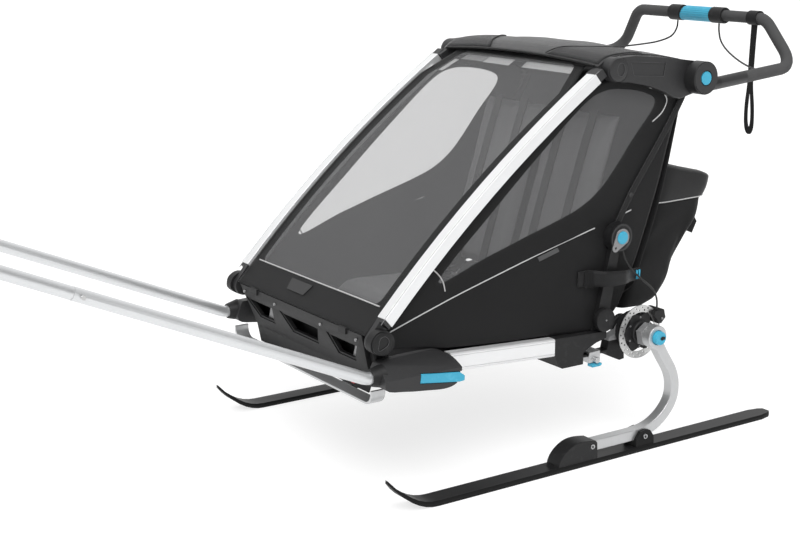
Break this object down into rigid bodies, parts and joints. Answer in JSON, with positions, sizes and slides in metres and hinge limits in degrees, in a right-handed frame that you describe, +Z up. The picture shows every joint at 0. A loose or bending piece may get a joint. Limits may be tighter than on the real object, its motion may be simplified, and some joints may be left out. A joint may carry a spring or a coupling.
{
  "type": "child trailer on skis",
  "caption": "Folding two-seat child trailer set up on skis: silver tube frame, black fabric cabin with tinted windows, push handlebar, rear bag and tow poles.",
  "frame": {"origin": "centre of the bounding box's base: the floor under the skis, midway along the length and across the width", "axes": "+X towards the trailer's left side, +Y towards its rear, +Z up; the tow poles point to -Y"},
  "size_m": [0.898, 2.7934, 1.0785],
  "materials": {
    "anodised_silver": "satin",
    "steel": "satin",
    "cast_grey": "matte",
    "black_plastic": "satin",
    "handle_foam": "matte",
    "blue_plastic": "satin",
    "black_fabric": "matte",
    "window_fabric": "satin",
    "grey_fabric": "matte",
    "ski_black": "satin",
    "cable_black": "satin"
  },
  "bodies": {
    "chassis": {"floor_pan": "black_plastic", "side_rail_left": "anodised_silver", "side_rail_right": "anodised_silver", "front_bumper": "black_plastic", "guard_bar": "anodised_silver", "tow_bracket_left": "black_plastic", "tow_bracket_right": "black_plastic", "rear_crossmember": "black_plastic", "seat_base": "grey_fabric", "seat_backs": "grey_fabric", "harness_left": "black_fabric", "harness_right": "black_fabric", "cabin_fabric": "black_fabric", "cargo_bag": "black_fabric", "lower_cable_left": "cable_black", "lower_cable_right": "cable_black"},
    "front_frame": {"side_bar_left": "anodised_silver", "side_bar_right": "anodised_silver", "lower_socket_left": "black_plastic", "lower_socket_right": "black_plastic", "top_front_bar": "black_plastic"},
    "front_cover": {"front_cover": "window_fabric"},
    "upper_frame": {"upper_bracket_left": "black_plastic", "upper_bracket_right": "black_plastic", "rear_frame": "black_plastic", "roof": "black_fabric"},
    "rear_legs": {"rear_leg_left": "black_plastic", "rear_leg_right": "black_plastic"},
    "handlebar": {"handlebar": "handle_foam", "brake_controls": "black_plastic", "wrist_strap": "black_fabric", "upper_cable_left": "cable_black", "upper_cable_right": "cable_black"},
    "twist_grip": {"twist_grip": "blue_plastic"},
    "handlebar_button_left": {"handlebar_button_left": "blue_plastic"},
    "knee_lock_left": {"knee_lock_left": "blue_plastic"},
    "tow_latch_left": {"tow_latch_left": "blue_plastic"},
    "tow_pole_left": {"pole_rear_left": "anodised_silver", "pole_front_left": "anodised_silver"},
    "pole_pin_left": {"pole_pin_left": "steel"},
    "swing_arm_left": {"swing_arm_left": "cast_grey", "caliper_left": "black_plastic", "ski_strut_left": "anodised_silver", "ski_left": "ski_black"},
    "hub_left": {"hub_left": "steel"},
    "leaf_clamp_left": {"leaf_clamp_left": "anodised_silver"},
    "hub_cap_left": {"hub_cap_left": "blue_plastic"},
    "handlebar_button_right": {"handlebar_button_right": "blue_plastic"},
    "knee_lock_right": {"knee_lock_right": "blue_plastic"},
    "tow_latch_right": {"tow_latch_right": "blue_plastic"},
    "tow_pole_right": {"pole_rear_right": "anodised_silver", "pole_front_right": "anodised_silver"},
    "pole_pin_right": {"pole_pin_right": "steel"},
    "swing_arm_right": {"swing_arm_right": "cast_grey", "caliper_right": "black_plastic", "ski_strut_right": "anodised_silver", "ski_right": "ski_black"},
    "hub_right": {"hub_right": "steel"},
    "leaf_clamp_right": {"leaf_clamp_right": "anodised_silver"},
    "hub_cap_right": {"hub_cap_right": "blue_plastic"}
  },
  "joints": [
    {"name": "frame_fold", "type": "hinge", "parent": "chassis", "child": "front_frame", "pos_m": [0, 0.05918, 0.379], "axis": [1, 0, 0], "range_deg": [-24, 0], "deforming": ["cabin_fabric", "seat_backs", "harness_left", "harness_right", "cargo_bag", "lower_cable_left", "lower_cable_right"]},
    {"name": "upper_fold", "type": "hinge", "parent": "front_frame", "child": "upper_frame", "pos_m": [0, 0.74718, 0.962], "axis": [1, 0, 0], "range_deg": [-43.5, 0.6]},
    {"name": "leg_fold", "type": "hinge", "parent": "chassis", "child": "rear_legs", "pos_m": [0, 0.73218, 0.333], "axis": [1, 0, 0], "range_deg": [-0.6, 71.16]},
    {"name": "cover_open", "type": "hinge", "parent": "front_frame", "child": "front_cover", "pos_m": [0, 0.70084, 0.95543], "axis": [-1, 0, 0], "range_deg": [0, 110]},
    {"name": "handlebar_tilt", "type": "hinge", "parent": "upper_frame", "child": "handlebar", "pos_m": [0, 1.01118, 0.929], "axis": [1, 0, 0], "range_deg": [-50, 120], "deforming": ["wrist_strap"]},
    {"name": "grip_twist", "type": "hinge", "parent": "handlebar", "child": "twist_grip", "pos_m": [0, 1.36618, 1.056], "axis": [1, 0, 0], "range_deg": [0, 45], "stiffness_Nm_per_rad": 0.8},
    {"name": "handlebar_button_left_press", "type": "slide", "parent": "handlebar", "child": "handlebar_button_left", "axis": [-1, 0, 0], "range_m": [0, 0.004], "stiffness_N_per_m": 500},
    {"name": "knee_lock_left_turn", "type": "hinge", "parent": "rear_legs", "child": "knee_lock_left", "pos_m": [0.3553, 0.77418, 0.542], "axis": [1, 0, 0], "range_deg": [0, 30], "stiffness_Nm_per_rad": 0.6},
    {"name": "tow_latch_left_open", "type": "hinge", "parent": "chassis", "child": "tow_latch_left", "pos_m": [0.3893, 0.14418, 0.286], "axis": [0, 0, -1], "range_deg": [0, 20], "stiffness_Nm_per_rad": 0.5},
    {"name": "pole_left_pull_out", "type": "slide", "parent": "chassis", "child": "tow_pole_left", "axis": [0, -1, 0], "range_m": [0, 0.15]},
    {"name": "pole_pin_left_pull", "type": "slide", "parent": "tow_pole_left", "child": "pole_pin_left", "axis": [0.9992, -0.0367, 0.0159], "range_m": [0, 0.03]},
    {"name": "suspension_left", "type": "hinge", "parent": "chassis", "child": "swing_arm_left", "pos_m": [0.2945, 0.65118, 0.235], "axis": [1, 0, 0], "range_deg": [-4.5, 8], "stiffness_Nm_per_rad": 2470, "springref_deg": 0.39},
    {"name": "hub_left_spin", "type": "hinge", "parent": "swing_arm_left", "child": "hub_left", "pos_m": [0.362, 0.83718, 0.2895], "axis": [1, 0, 0], "continuous": true},
    {"name": "leaf_clamp_left_slide", "type": "slide", "parent": "swing_arm_left", "child": "leaf_clamp_left", "axis": [0, 0.9996, 0.03], "range_m": [-0.018, 0.018]},
    {"name": "hub_cap_left_press", "type": "slide", "parent": "swing_arm_left", "child": "hub_cap_left", "axis": [-1, 0, 0], "range_m": [0, 0.003], "stiffness_N_per_m": 600},
    {"name": "handlebar_button_right_press", "type": "slide", "parent": "handlebar", "child": "handlebar_button_right", "axis": [1, 0, 0], "range_m": [0, 0.004], "stiffness_N_per_m": 500},
    {"name": "knee_lock_right_turn", "type": "hinge", "parent": "rear_legs", "child": "knee_lock_right", "pos_m": [-0.3553, 0.77418, 0.542], "axis": [1, 0, 0], "range_deg": [0, 30], "stiffness_Nm_per_rad": 0.6},
    {"name": "tow_latch_right_open", "type": "hinge", "parent": "chassis", "child": "tow_latch_right", "pos_m": [-0.3893, 0.14418, 0.286], "axis": [0, 0, 1], "range_deg": [0, 20], "stiffness_Nm_per_rad": 0.5},
    {"name": "pole_right_pull_out", "type": "slide", "parent": "chassis", "child": "tow_pole_right", "axis": [0, -1, 0], "range_m": [0, 0.15]},
    {"name": "pole_pin_right_pull", "type": "slide", "parent": "tow_pole_right", "child": "pole_pin_right", "axis": [-0.9992, -0.0367, 0.0159], "range_m": [0, 0.03]},
    {"name": "suspension_right", "type": "hinge", "parent": "chassis", "child": "swing_arm_right", "pos_m": [-0.2945, 0.65118, 0.235], "axis": [1, 0, 0], "range_deg": [-4.5, 8], "stiffness_Nm_per_rad": 2470, "springref_deg": 0.39},
    {"name": "hub_right_spin", "type": "hinge", "parent": "swing_arm_right", "child": "hub_right", "pos_m": [-0.362, 0.83718, 0.2895], "axis": [1, 0, 0], "continuous": true},
    {"name": "leaf_clamp_right_slide", "type": "slide", "parent": "swing_arm_right", "child": "leaf_clamp_right", "axis": [0, 0.9996, 0.03], "range_m": [-0.018, 0.018]},
    {"name": "hub_cap_right_press", "type": "slide", "parent": "swing_arm_right", "child": "hub_cap_right", "axis": [1, 0, 0], "range_m": [0, 0.003], "stiffness_N_per_m": 600}
  ],
  "couplings": [
    {"joint": "upper_fold", "follows": "frame_fold", "ratio": 1.7877},
    {"joint": "leg_fold", "follows": "frame_fold", "ratio": -2.9399}
  ]
}
